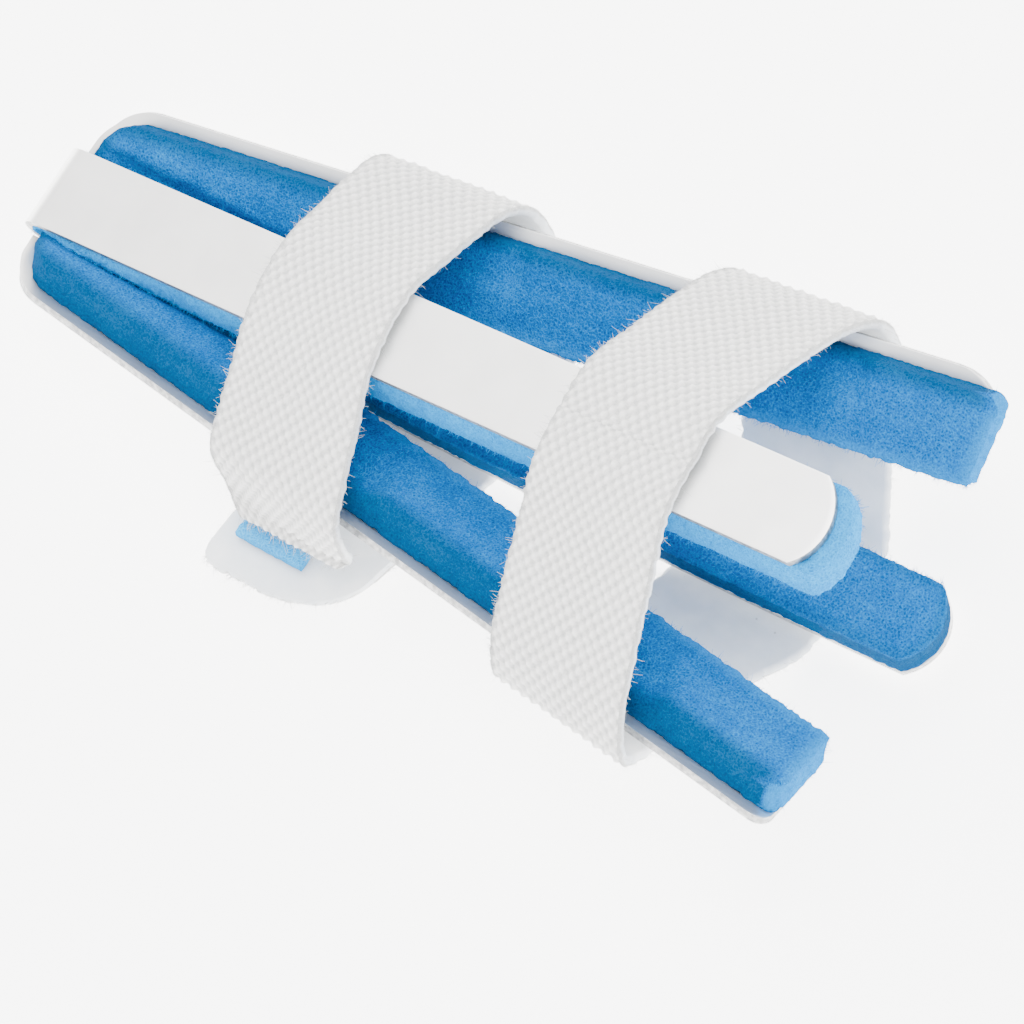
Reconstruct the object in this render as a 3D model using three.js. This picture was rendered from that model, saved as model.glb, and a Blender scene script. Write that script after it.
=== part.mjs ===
// A four-pronged finger splint, in millimetres: one bent aluminium sheet lined with foam, and two
// tape straps round it. X runs from the tip end to the open end, Y across, Z up.
import * as THREE from 'three';

const degree = Math.PI / 180;

// The sheet, and the gap that pieces lying on each other keep
const sheetThickness = 0.9;
const clearance = 0.3;

// The plate at the tip end, and the folds that raise its sides
const plateLength = 34;
const tipHalfWidth = 13.05;
const tipBulge = 2;
const tipCornerRadius = 5;
const bendLine = 5;
const bendRadius = 7;
const upperFold = 30 * degree;
const lowerFold = 35 * degree;

// The two wings and the slits beside them
const wingWidth = 11.3;
const wingSpread = 9.43 * degree;
const upperWingLength = 105.3;
const lowerWingLength = 107;
const upperCornerRadius = 6.5;
const lowerCornerRadius = 2;
const slitRootRadius = 1.8;

// The centre strip
const stripWidth = 9.4;
const stripLength = 109.8;
const stripSwing = 2.35;
const stripEndRadius = 6;

// The tongue leaves the plate's tip edge in a tight fold and rises towards the open end
const tongueWidth = 9.8;
const tongueLength = 103.8;
const tonguePitch = 14 * degree;
const tongueRootX = 0.9;
const tongueFoldRadius = 2.49;
const tongueEndRadius = 6.05;
const notchWidth = 0.4;

// The foam lining, and how far it is pressed in under the tongue's root and under the straps. It stays
// inside the metal's outer border, and is cut square just past the wings' ends
const foamThickness = 4;
const foamBorder = 1.4;
const foamEndReach = 0.3;
const foamRoll = 0.8;
const foamStartX = 2.2;
const tonguePress = 0.6;
const strapPress = 1.5;
const tongueFoamThickness = 4.5;
const tongueFoamStartX = 5;
const tongueFoamFlare = 0.5;
const tongueFoamReach = 1.6;

// The straps. Each leans towards the open end on its way down, and more so below the wings. It stands
// off a wing's edge by one bulge at its tip-end side and another at its open-end side
const strapThickness = 1.4;
const strapLean = 0.32;
const strapSkew = 0.04;
const strapCrown = 0.3;
const frontStrap = {
  x: 38.4, width: 16, underShift: 6.6, underSkew: 0.24, lowerSkew: 0.14, upperBulge: [2.7, 1.9], lowerBulge: [3.2, 3],
};
const rearStrap = {
  x: 77.2, width: 15.6, underShift: 3.6, underSkew: 0.17, lowerSkew: 0.04, upperBulge: [2.2, 1.6], lowerBulge: [3, 2.8],
};
const cutEndNarrowing = 2.4;
const tabReach = 27.5;
const tabCorner = { narrow: 1.6, deep: 7, wide: 9 };

// The foam piece between the front strap's two ends
const patchLength = 8.4;
const patchWidth = 4.4;
const patchThickness = 1.4;
const patchX = 42.5;
const patchInset = 5.9;
const patchHeight = 3.05;
const patchTilt = 9 * degree;

const mix = (from, to, share) => from + (to - from) * share;
const clamp = (value, low, high) => Math.min(Math.max(value, low), high);
const steps = (from, to, count) => Array.from({ length: count }, (_, i) => mix(from, to, (i + 1) / count));
const smooth = (share) => {
  const t = clamp(share, 0, 1);
  return t * t * (3 - 2 * t);
};

// A thin closed solid over a net of four-sided cells. Each corner of the net has a point on the outer
// skin and one on the inner skin, and an edge that only one cell has gets a wall.
class Net {
  constructor() {
    this.ids = new Map();
    this.outer = [];
    this.inner = [];
    this.cells = [];
  }

  corner([outer, inner]) {
    const key = [...outer.toArray(), ...inner.toArray()].map((v) => Math.round(v * 5000)).join(' ');
    if (!this.ids.has(key)) {
      this.ids.set(key, this.outer.length);
      this.outer.push(outer);
      this.inner.push(inner);
    }
    return this.ids.get(key);
  }

  // place(i, j) gives the two points; seen from the inner skin, j is anticlockwise from i
  patch(rows, columns, place) {
    const id = Array.from({ length: rows + 1 }, (_, i) =>
      Array.from({ length: columns + 1 }, (_, j) => this.corner(place(i, j))));
    for (let i = 0; i < rows; i += 1) {
      for (let j = 0; j < columns; j += 1) {
        this.cells.push([id[i][j], id[i + 1][j], id[i + 1][j + 1], id[i][j + 1]]);
      }
    }
  }

  geometry() {
    const count = this.outer.length;
    const triangles = [];
    const edges = new Map();
    const quad = (a, b, c, d) => triangles.push(a, b, c, a, c, d);
    this.cells.forEach(([a, b, c, d]) => {
      quad(a + count, b + count, c + count, d + count);
      quad(a, d, c, b);
      [[a, b], [b, c], [c, d], [d, a]].forEach(([from, to]) => edges.set(`${from} ${to}`, [from, to]));
    });
    edges.forEach(([from, to]) => {
      if (!edges.has(`${to} ${from}`)) quad(from + count, from, to, to + count);
    });
    const shape = new THREE.BufferGeometry();
    const points = [...this.outer, ...this.inner].flatMap((point) => point.toArray());
    shape.setAttribute('position', new THREE.Float32BufferAttribute(points, 3));
    shape.setIndex(triangles);
    shape.computeVertexNormals();
    return shape;
  }
}

// The bent base: x along it, s across the flat sheet, height from mid-sheet towards the foam side
function foldedBase(x, s, height) {
  const side = Math.sign(s) || 1;
  const angle = side > 0 ? upperFold : lowerFold;
  const flat = bendLine - bendRadius * Math.tan(angle / 2);
  const along = Math.abs(s) - flat;
  const turn = clamp(along / bendRadius, 0, angle);
  const past = Math.max(along - bendRadius * angle, 0);
  const lift = bendRadius - height;
  const across = Math.min(Math.abs(s), flat) + lift * Math.sin(turn) + past * Math.cos(turn);
  const up = bendRadius - lift * Math.cos(turn) + past * Math.sin(turn);
  return new THREE.Vector3(x, side * across, sheetThickness / 2 + up);
}

// Past the slits' roots the centre strip lies flat and swings a little to one side
function stripPoint(x, s, height) {
  const past = Math.max(x - plateLength, 0);
  const flat = new THREE.Vector3(x, s, sheetThickness / 2 + height);
  flat.lerp(foldedBase(x, s, height), 1 - smooth(past / stripWidth));
  flat.y += stripSwing * (past / (stripLength - plateLength)) ** 2;
  return flat;
}

// The tongue, by its way from the root: round the fold, then straight up at its pitch
function tonguePoint(way, s, height) {
  const fold = Math.PI - tonguePitch;
  const turn = clamp(way / tongueFoldRadius, 0, fold);
  const past = Math.max(way - tongueFoldRadius * fold, 0);
  const radius = tongueFoldRadius - height;
  const x = tongueRootX - radius * Math.sin(turn) - past * Math.cos(turn);
  const up = tongueFoldRadius - radius * Math.cos(turn) + past * Math.sin(turn);
  return new THREE.Vector3(x, s, sheetThickness / 2 + up);
}

const outlineAt = (x) => tipHalfWidth + x * Math.tan(wingSpread);
const foldWay = tongueFoldRadius * (Math.PI - tonguePitch);
const arcDrop = (radius, s) => radius - Math.sqrt(Math.max(radius ** 2 - s ** 2, 0));

// Height of the tongue's top face above the strip's lower face
const tongueTop = (x) => {
  const start = tonguePoint(foldWay, 0, -sheetThickness / 2);
  return start.z + (x - start.x) * Math.tan(tonguePitch);
};

// The plate's tip edge beside the tongue, with a rounded corner
function tipEdge(s, inset) {
  const half = outlineAt(0) - inset;
  const radius = tipCornerRadius - inset;
  const bulge = Math.max(tipBulge * (1 - (s / (half - radius / 2)) ** 2), 0);
  return inset - bulge + arcDrop(radius, Math.max(s - half + radius, 0));
}

// Where a strap's line lies at a height: it leans all the way down, and shifts most near the bottom
function strapX(strap, topX, y, z) {
  const depth = tongueTop(topX) - z;
  const low = clamp(depth / tongueTop(topX), 0, 1) ** 4;
  const skew = (y > 0 ? strapSkew : strap.lowerSkew) * (1 - low);
  return topX + strapLean * depth + strap.underShift * low + (strap.underSkew * low - skew) * y;
}

// How far the foam is pressed in at a place on the flat sheet
function foamPress(x, s) {
  const rise = 1 + 1.6 * smooth((Math.abs(s) - 3.2) / 3);
  const beside = rise * smooth((10 - Math.abs(s)) / 2) * smooth((34 - x) / 10);
  const outer = smooth((Math.abs(s) - outlineAt(x) + 7) / 3);
  const under = [frontStrap, rearStrap].map((strap) =>
    smooth((strap.width / 2 + 3 - Math.abs(x - strap.x - 4.5)) / 3));
  return Math.max(tonguePress * beside, strapPress * outer * Math.max(...under));
}

// The base's sheet or foam: `low` and `high` are its faces' heights from mid-sheet. `inset` is how far
// it stays inside the outer border, `reach` how far it goes past the wings' ends
function baseNet({ low, high, inset, reach, startX, roll, press }) {
  const net = new Net();
  const innerLine = tongueWidth / 2 + notchWidth;
  const flatEdge = tongueWidth / 2;
  const tipZone = tipCornerRadius + 3;
  const tipAt = (s, share) => mix(tipEdge(s, inset), tipZone, share);
  const rootShare = (startX - tipAt(innerLine, 0)) / (tipZone - tipAt(innerLine, 0));
  const tipShares = [0, rootShare / 2, rootShare, mix(rootShare, 1, 0.5), 1];
  const rootRow = 2;
  const plateRows = steps(tipZone, plateLength, 6);
  const slitRow = tipShares.length - 1 + plateRows.length;
  const pair = (point, x, s, topX = x, topS = s) =>
    [point(x, s, low), point(topX, topS, high - (press ? foamPress(x, s) : 0))];

  const wing = (side) => {
    const length = side > 0 ? upperWingLength : lowerWingLength;
    const radius = side > 0 ? upperCornerRadius : lowerCornerRadius;
    const endZone = length - upperCornerRadius - 2;
    const straight = [...[0.12, 0.45, 1].map((share) => plateLength + share * slitRootRadius),
      ...steps(plateLength + slitRootRadius, endZone, 16)];
    const endShares = [0.35, 0.7, 1];
    const shares = [0, 0.12, 0.26, 0.45, 0.64, 0.8, 0.92, 1];
    const rows = slitRow + straight.length + endShares.length;
    const insideAt = (x) => {
      const opened = clamp((x - plateLength) / slitRootRadius, 0, 1);
      return mix(innerLine, outlineAt(x) - wingWidth, Math.sqrt(1 - (1 - opened) ** 2));
    };
    const endEdge = (s) => {
      const half = outlineAt(length) - inset;
      return length + reach - arcDrop(radius, Math.max(s - half + radius, 0));
    };
    const rowX = (i, share) => {
      if (i < tipShares.length) return tipAt(mix(innerLine, outlineAt(0) - inset, share), tipShares[i]);
      if (i <= slitRow) return plateRows[i - tipShares.length];
      if (i <= slitRow + straight.length) return straight[i - slitRow - 1];
      const s = mix(insideAt(length), outlineAt(length) - inset, share);
      return mix(endZone, endEdge(s), endShares[i - slitRow - straight.length - 1]);
    };
    net.patch(rows, shares.length - 1, (i, j) => {
      const share = shares[side > 0 ? j : shares.length - 1 - j];
      const x = rowX(i, share);
      const s = mix(insideAt(x), outlineAt(x) - inset, share);
      const inward = share === 1 ? -roll : 0;
      const forward = i === 0 ? roll : 0;
      const [bottom, top] = pair(foldedBase, x, side * s, x + forward, side * (s + inward));
      if (i < rootRow) top.y = mix(bottom.y, top.y, smooth(share / 0.5));
      return [bottom, top];
    });
  };

  // The middle of the plate, the narrow parts between it and the wings, and the strip
  const sharedX = [...tipShares.slice(rootRow).map((share) => tipAt(innerLine, share)), ...plateRows];
  [[-innerLine, -flatEdge], [flatEdge, innerLine]].forEach((edges) => {
    net.patch(sharedX.length - 1, 1, (i, j) => pair(foldedBase, sharedX[i], edges[j]));
  });
  const stripX = steps(plateLength, stripLength - stripEndRadius, 14);
  const stripRows = sharedX.length + stripX.length;
  const middleShares = [-1, -0.8, -0.45, 0, 0.45, 0.8, 1];
  net.patch(stripRows, middleShares.length - 1, (i, j) => {
    const share = middleShares[j];
    const edge = Math.abs(share) === 1;
    if (i < sharedX.length) {
      const x = sharedX[i];
      return pair(foldedBase, x, share * flatEdge, x + (i === 0 && !edge ? roll : 0));
    }
    const s = share * stripWidth / 2;
    const x = i < stripRows ? stripX[i - sharedX.length] : stripLength - inset / 2 - arcDrop(stripEndRadius, s);
    return pair(stripPoint, x, s, i < stripRows ? x : x - roll);
  });
  wing(1);
  wing(-1);
  return { net, flatEdge, middleShares };
}

function frameShape() {
  const half = sheetThickness / 2;
  const sheet = { low: -half, high: half, inset: 0, reach: 0, startX: tongueRootX, roll: 0, press: false };
  const { net, flatEdge, middleShares } = baseNet(sheet);
  const foldWays = Array.from({ length: 13 }, (_, i) => foldWay * i / 12);
  const total = foldWay + tongueLength - arcDrop(tongueEndRadius, 0);
  const ways = [...foldWays, ...steps(foldWay, total - tongueEndRadius, 12), total].reverse();
  net.patch(ways.length - 1, middleShares.length - 1, (i, j) => {
    const s = middleShares[j] * flatEdge;
    const way = i === 0 ? total - arcDrop(tongueEndRadius, s) : ways[i];
    if (way === 0) return [foldedBase(tongueRootX, s, -half), foldedBase(tongueRootX, s, half)];
    return [tonguePoint(way, s, -half), tonguePoint(way, s, half)];
  });
  return net.geometry();
}

function foamBaseShape() {
  const low = sheetThickness / 2 + clearance;
  const lining = {
    low, high: low + foamThickness, inset: foamBorder, reach: foamEndReach, startX: foamStartX, roll: foamRoll, press: true,
  };
  return baseNet(lining).net.geometry();
}

// Foam under the tongue: it starts thin in the wedge by the fold and reaches a little past the tip
function foamTongueShape() {
  const net = new Net();
  const low = sheetThickness / 2 + clearance;
  const half = tongueWidth / 2 + tongueFoamFlare / 2;
  const total = foldWay + tongueLength + tongueFoamReach;
  const start = foldWay + tongueFoamStartX / Math.cos(tonguePitch);
  const ways = [...steps(start - 4, total - tongueEndRadius, 26).slice(1), total].reverse();
  const shares = [-1, -0.85, -0.45, 0, 0.45, 0.85, 1];
  const baseTop = sheetThickness + clearance + foamThickness - tonguePress;
  net.patch(ways.length - 1, shares.length - 1, (i, j) => {
    const s = shares[j] * half;
    const edge = Math.abs(shares[j]) === 1;
    const way = i === 0 ? total - arcDrop(tongueEndRadius + 0.4, s) : ways[i];
    const face = tonguePoint(way, s, low);
    const room = (face.z - baseTop - clearance) * Math.cos(tonguePitch);
    const relief = tonguePress * smooth((face.x - 17) / 8);
    const thickness = Math.min(tongueFoamThickness, room - relief);
    const bottom = edge ? s + Math.sign(s) * tongueFoamFlare / 2 : s;
    return [face, tonguePoint(way - (i === 0 ? foamRoll : 0), bottom, low + thickness)];
  });
  return net.geometry();
}

// A strap's way round at one of the lines along it: `across` is -1 at its tip-end side and 1 at its
// open-end side. Each key is a place y, z, and a way back towards the tip end
function strapKeys(strap, across, closed) {
  const topX = strap.x + across * strap.width / 2;
  const top = tongueTop(topX) + clearance + strapThickness / 2;
  const bottom = -clearance - strapThickness / 2;
  const sideKeys = (side) => {
    const bulge = mix(...(side > 0 ? strap.upperBulge : strap.lowerBulge), (across + 1) / 2);
    const edgeX = strapX(strap, topX, side * 20, tongueTop(topX) / 2);
    const edge = foldedBase(edgeX, side * outlineAt(edgeX), 0);
    const y = Math.abs(edge.y);
    const out = (share) => mix(5.4, y + bulge, share);
    const down = (share) => mix(top - 0.5, edge.z + 1.2, share);
    const under = (share, lag) => {
      const away = mix(6, y, share);
      return { y: away, z: Math.max((away - bendLine) * Math.tan(side > 0 ? upperFold : lowerFold) - lag, bottom) };
    };
    return [
      { y: 5.5, z: top - 0.08 },
      { y: out(0.3), z: down(0.26) + 0.3 },
      { y: out(0.62), z: down(0.58) + 0.5 },
      { y: out(0.88), z: down(0.86) + 0.35 },
      { y: y + bulge, z: edge.z + (side > 0 ? 0 : -0.8) },
      { y: y + bulge * 0.35, z: edge.z - 3.1 },
      under(0.62, 2.4),
      under(0.3, 2.2),
      { y: side > 0 ? 7.6 : 5.4, z: bottom },
    ].map((key) => ({ y: side * key.y, z: key.z }));
  };
  const upper = sideKeys(1);
  const lower = sideKeys(-1);
  const crown = { y: 0, z: top + strapCrown };
  const floor = { y: 0, z: bottom };
  const edge = lower[4];
  const cutEnd = [
    { y: -21.9, z: 4.7, back: cutEndNarrowing * across },
    { y: -20.9, z: 5.4, back: cutEndNarrowing * across * 0.6 },
    { y: Math.max(edge.y, -21.2), z: edge.z - 1.2, back: cutEndNarrowing * across * 0.25 },
  ];
  const tab = [
    { y: -5.2, z: bottom },
    { y: -10, z: bottom + 0.3 },
    { y: -15, z: bottom + 1 },
    { y: -20.5, z: bottom + 2 },
    { y: -tabReach, z: bottom + 2.9 },
  ];
  const keys = closed
    ? [crown, ...upper, floor, ...lower.reverse()]
    : [...cutEnd, ...lower.slice(0, 4).reverse(), crown, ...upper, floor, ...tab];
  return keys.map(({ y, z, back = 0 }) => new THREE.Vector3(strapX(strap, topX, y, z) - back, y, z));
}

// How much the tab's rounded corners take off its length at a line along it
function tabTrim(strap, across) {
  const half = strap.width / 2;
  const nearTip = Math.max(tabCorner.narrow - half - across * half, 0);
  const nearOpen = Math.max(across * half - half + tabCorner.wide, 0) / tabCorner.wide;
  return arcDrop(tabCorner.narrow, nearTip) + tabCorner.deep * arcDrop(1, nearOpen);
}

function strapShape(strap, closed) {
  const net = new Net();
  const shares = [-1, -0.8, -0.4, 0, 0.4, 0.8, 1];
  const columns = shares.length - 1;
  const rows = closed ? 72 : 84;
  const tabStart = 0.82;
  const grid = shares.map((across) => {
    const curve = new THREE.CatmullRomCurve3(strapKeys(strap, across, closed), closed, 'centripetal');
    const trimmed = closed ? 0 : tabTrim(strap, across) / curve.getLength();
    return Array.from({ length: rows + 1 }, (_, i) =>
      curve.getPoint(i / rows - trimmed * smooth((i / rows - tabStart) / (1 - tabStart))));
  });
  const at = (i, j) => grid[clamp(j, 0, columns)][closed ? (i + rows) % rows : clamp(i, 0, rows)];
  net.patch(rows, columns, (i, j) => {
    const along = at(i + 1, j).clone().sub(at(i - 1, j));
    const across = at(i, j + 1).clone().sub(at(i, j - 1));
    const inward = along.cross(across).normalize().multiplyScalar(strapThickness / 2);
    return [at(i, j).clone().sub(inward), at(i, j).clone().add(inward)];
  });
  return net.geometry();
}

// The foam piece lies on the tab, its inner edge under the strap's cut end
function foamPatchShape() {
  const slab = new THREE.BoxGeometry(patchLength, patchWidth, patchThickness, 2, 2, 1);
  slab.rotateX(-patchTilt);
  slab.translate(patchX, patchInset - tabReach, patchHeight);
  return slab;
}

const metal = new THREE.MeshStandardMaterial({ color: 0xd9dbdc, metalness: 1, roughness: 0.35 });
const foam = new THREE.MeshStandardMaterial({ color: 0x1687c9, metalness: 0, roughness: 0.95 });
const tape = new THREE.MeshStandardMaterial({ color: 0xf0f0ee, metalness: 0, roughness: 0.9 });

const splint = new THREE.Group();
const add = (name, geometry, material) => {
  const mesh = new THREE.Mesh(geometry, material);
  mesh.name = name;
  splint.add(mesh);
};
add('frame', frameShape(), metal);
add('foam_base', foamBaseShape(), foam);
add('foam_tongue', foamTongueShape(), foam);
add('strap_front', strapShape(frontStrap, false), tape);
add('strap_rear', strapShape(rearStrap, true), tape);
add('foam_patch', foamPatchShape(), foam);

// The origin is the middle of the whole splint's footprint
const bounds = new THREE.Box3().setFromObject(splint);
const centre = bounds.getCenter(new THREE.Vector3());
splint.children.forEach((mesh) => mesh.geometry.translate(-centre.x, -centre.y, -bounds.min.z));

export default splint;
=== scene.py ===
# %% [markdown]
# A finger splint is one sheet of soft aluminium, lined with foam. Four prongs are cut in it: two wings
# and a centre strip point to the open end, and a tongue is folded back over the top, so that the
# finger lies between the two linings. Two tape straps hold it closed. Everything below is worked out
# in millimetres from the sheet's flat pattern, which is then bent, so each piece follows the sheet.

import math

import bmesh
import bpy
import numpy as np
from mathutils import Matrix, Vector


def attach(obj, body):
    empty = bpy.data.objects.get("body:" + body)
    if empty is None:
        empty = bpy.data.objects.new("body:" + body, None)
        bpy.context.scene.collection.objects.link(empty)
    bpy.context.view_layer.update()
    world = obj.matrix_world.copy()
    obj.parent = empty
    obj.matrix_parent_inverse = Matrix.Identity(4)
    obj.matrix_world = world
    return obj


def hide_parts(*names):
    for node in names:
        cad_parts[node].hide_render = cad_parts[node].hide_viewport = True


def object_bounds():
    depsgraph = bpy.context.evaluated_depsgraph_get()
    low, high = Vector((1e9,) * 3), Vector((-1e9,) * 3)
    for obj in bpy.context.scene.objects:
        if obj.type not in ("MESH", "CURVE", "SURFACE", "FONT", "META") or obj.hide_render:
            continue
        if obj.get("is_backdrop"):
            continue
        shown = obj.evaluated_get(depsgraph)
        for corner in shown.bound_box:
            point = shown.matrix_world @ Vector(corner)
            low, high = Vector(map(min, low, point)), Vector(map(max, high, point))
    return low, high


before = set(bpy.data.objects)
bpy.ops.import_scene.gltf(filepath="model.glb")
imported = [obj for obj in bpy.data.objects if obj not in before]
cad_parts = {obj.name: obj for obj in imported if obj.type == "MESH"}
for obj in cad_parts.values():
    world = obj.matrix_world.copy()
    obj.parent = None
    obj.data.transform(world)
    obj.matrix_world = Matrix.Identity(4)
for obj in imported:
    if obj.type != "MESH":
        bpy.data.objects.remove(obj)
cad_low, cad_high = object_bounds()
MM = 0.001
print("CAD box in mm:", [round(v / MM, 1) for v in (*cad_low, *cad_high)])

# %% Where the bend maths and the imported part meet
# The bend maths has its origin on the strip's under face near the fold, and the part has its own at
# the middle of its footprint. This is the way from the first to the second.
TO_PART = np.array([-53.89, 0.212, 1.947])


def mix(low, high, share):
    """Goes from low to high as share goes from 0 to 1."""
    return low + (high - low) * share


def smooth(share):
    """An S-shaped step: 3 t squared less 2 t cubed, held at 0 and 1 outside."""
    t = np.clip(share, 0, 1)
    return t * t * (3 - 2 * t)


def unit(vectors):
    """The vectors along the last axis, made one long."""
    return vectors / np.maximum(np.linalg.norm(vectors, axis=-1, keepdims=True), 1e-12)


# %% [markdown]
# The camera stands where the photographer's did: well above the splint, a little towards the open
# end and the near side, about half a metre off with a long lens. Its three directions are written
# out as unit vectors, because the photograph is slightly rolled and no target would give that.

# %% Camera
CAMERA_PLACE = np.array([218.5, -108.7, 468.3])
CAMERA_RIGHT = Vector((0.8375, 0.5204, -0.1665)).normalized()
CAMERA_AHEAD = Vector((-0.3102, 0.2021, -0.9289)).normalized()
CAMERA_LENS = 167.46

camera_up = CAMERA_RIGHT.cross(CAMERA_AHEAD).normalized()
camera_data = bpy.data.cameras.new("camera")
camera_data.lens = CAMERA_LENS
camera_data.sensor_width = 36
camera_data.clip_start = 0.02
camera = bpy.data.objects.new("camera", camera_data)
bpy.context.collection.objects.link(camera)
turn = Matrix((CAMERA_RIGHT, camera_up, -CAMERA_AHEAD)).transposed().to_4x4()
camera.matrix_world = Matrix.Translation(Vector((CAMERA_PLACE + TO_PART) * MM)) @ turn
bpy.context.scene.camera = camera
print("camera is", round(float(np.linalg.norm(CAMERA_PLACE - (52, 0, 8)))), "mm from the splint")

# %% [markdown]
# Every surface here is a grid of points: rows along the splint, columns across it. A helper welds
# any number of such grids into one mesh, so that neighbours sharing an edge become one skin.

# %% Grids into meshes
WELD_SIZE = 0.008
WELD_SHIFT = 0.37


def grid_faces(rows, columns, wrap=False):
    """Corner numbers of the four-sided cells between rows and columns of points, row by row."""
    i, j = np.meshgrid(np.arange(rows if wrap else rows - 1), np.arange(columns - 1), indexing="ij")
    below = (i + 1) % rows
    return np.stack([i * columns + j, below * columns + j, below * columns + j + 1, i * columns + j + 1], -1)


def weld(grids, values=None):
    """Joins grids of points into one list, where points in the same tiny cube become one."""
    points = np.concatenate([g.reshape(-1, 3) for g in grids])
    starts = np.cumsum([0] + [g.shape[0] * g.shape[1] for g in grids[:-1]])
    faces = np.concatenate(
        [grid_faces(g.shape[0], g.shape[1]).reshape(-1, 4) + start for g, start in zip(grids, starts)]
    )
    keys = np.floor(points / WELD_SIZE + WELD_SHIFT).astype(np.int64)
    _, first, place = np.unique(keys, axis=0, return_index=True, return_inverse=True)
    faces = place.reshape(-1)[faces]
    if values is None:
        return points[first], faces, None
    return points[first], faces, np.concatenate([v.reshape(-1) for v in values])[first]


def make_object(name, points, faces, attributes=(), smooth_shaded=True, join_within=0.0):
    """Puts points in the modelling frame, in mm, into a mesh in metres in the part's frame. Points
    closer together than join_within mm become one."""
    mesh = bpy.data.meshes.new(name)
    mesh.from_pydata(((points.reshape(-1, 3) + TO_PART) * MM).tolist(), [], faces)
    for layer_name, value in attributes:
        layer = mesh.attributes.new(layer_name, "FLOAT", "POINT")
        layer.data.foreach_set("value", np.asarray(value, np.float32).reshape(-1))
    if join_within:
        shell = bmesh.new()
        shell.from_mesh(mesh)
        bmesh.ops.remove_doubles(shell, verts=shell.verts, dist=join_within * MM)
        shell.to_mesh(mesh)
        shell.free()
    mesh.validate()
    if smooth_shaded:
        mesh.polygons.foreach_set("use_smooth", np.ones(len(mesh.polygons), bool))
    mesh.update()
    piece = bpy.data.objects.new(name, mesh)
    bpy.context.collection.objects.link(piece)
    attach(piece, "root")
    return piece


# %% [markdown]
# Loose grain needs noise that is the same on every run. This one gives each corner of a cubic
# lattice a fixed random number and blends the eight corners round a point.

# %% Lattice noise


def lattice(cells, seed):
    """A number from 0 to 1 for each whole-numbered cell, always the same for the same seed."""
    mixed = cells.astype(np.int64) @ np.array([73856093, 19349663, 83492791]) + seed * 2654435761
    mixed = (mixed ^ (mixed >> 13)) * 1274126177
    return ((mixed ^ (mixed >> 16)) & 65535) / 65535


def noise(points, size, seed):
    """Smooth noise from -1 to 1 with lumps about size across: the eight lattice numbers, blended."""
    place = points / size
    cell = np.floor(place)
    share = smooth(place - cell)
    total = np.zeros(len(points))
    for corner in np.ndindex(2, 2, 2):
        weight = np.prod(np.where(corner, share, 1 - share), axis=-1)
        total += weight * lattice(cell + corner, seed)
    return total * 2 - 1


def normals_of(points, faces):
    """The skin's direction at each point: its cells' cross products, added up and made unit length."""
    corner = points[faces]
    across = np.cross(corner[:, 2] - corner[:, 0], corner[:, 3] - corner[:, 1])
    total = np.zeros_like(points)
    for k in range(4):
        np.add.at(total, faces[:, k], across)
    return unit(total)


# %% [markdown]
# The sheet is 0.9 mm soft aluminium. Its flat pattern is widest at the open end. Both wings are bent
# up along lines 5 mm from the middle, the near one a little more. The bend is a short arc, and what
# lies beyond the arc is straight again.

# %% The bent sheet's rules
SHEET = 0.9
PLATE_LENGTH = 34
TIP_HALF_WIDTH = 13.05
TIP_BULGE = 2
TIP_CORNER = 5
BEND_LINE = 5
BEND_RADIUS = 7
UPPER_FOLD = math.radians(30)
LOWER_FOLD = math.radians(35)
WING_WIDTH = 11.3
WING_SPREAD = math.radians(9.43)
UPPER_WING_LENGTH = 105.3
LOWER_WING_LENGTH = 107
UPPER_CORNER = 6.5
LOWER_CORNER = 2
SLIT_ROOT = 1.8
STRIP_WIDTH = 9.4
STRIP_LENGTH = 109.8
STRIP_SWING = 2.35
STRIP_END = 6
TONGUE_WIDTH = 9.8
TONGUE_LENGTH = 103.8
TONGUE_PITCH = math.radians(14)
TONGUE_ROOT = 0.9
TONGUE_FOLD = 2.49
TONGUE_END = 6.05
NOTCH = 0.4
FOLD_WAY = TONGUE_FOLD * (math.pi - TONGUE_PITCH)
INNER_LINE = TONGUE_WIDTH / 2 + NOTCH


def outline(x):
    """Half the flat pattern's width: it grows evenly from the tip edge."""
    return TIP_HALF_WIDTH + x * math.tan(WING_SPREAD)


def drop(radius, s):
    """How far a circle of this radius falls away s from its top: radius less root of r2 - s2."""
    return radius - np.sqrt(np.maximum(radius**2 - s**2, 0))


def folded_base(x, s, height):
    """Bends the flat place (x, s): level, then an arc of BEND_RADIUS up to the fold, then straight.
    height is measured from mid-sheet towards the foam."""
    angle = np.where(s >= 0, UPPER_FOLD, LOWER_FOLD)
    level = BEND_LINE - BEND_RADIUS * np.tan(angle / 2)
    along = np.abs(s) - level
    turned = np.clip(along / BEND_RADIUS, 0, angle)
    past = np.maximum(along - BEND_RADIUS * angle, 0)
    lift = BEND_RADIUS - height
    across = np.minimum(np.abs(s), level) + lift * np.sin(turned) + past * np.cos(turned)
    up = BEND_RADIUS - lift * np.cos(turned) + past * np.sin(turned)
    return np.stack(np.broadcast_arrays(x, np.where(s >= 0, across, -across), SHEET / 2 + up), -1)


def strip_point(x, s, height):
    """The centre strip: flat past the slits' roots, and swung to one side as the square of its way."""
    past = np.maximum(x - PLATE_LENGTH, 0)
    flat = np.stack(np.broadcast_arrays(x, s, SHEET / 2 + height), -1)
    curl = (1 - smooth(past / STRIP_WIDTH))[..., None]
    bent = mix(flat, folded_base(x, s, height), curl)
    bent[..., 1] += STRIP_SWING * (past / (STRIP_LENGTH - PLATE_LENGTH)) ** 2
    return bent


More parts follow.
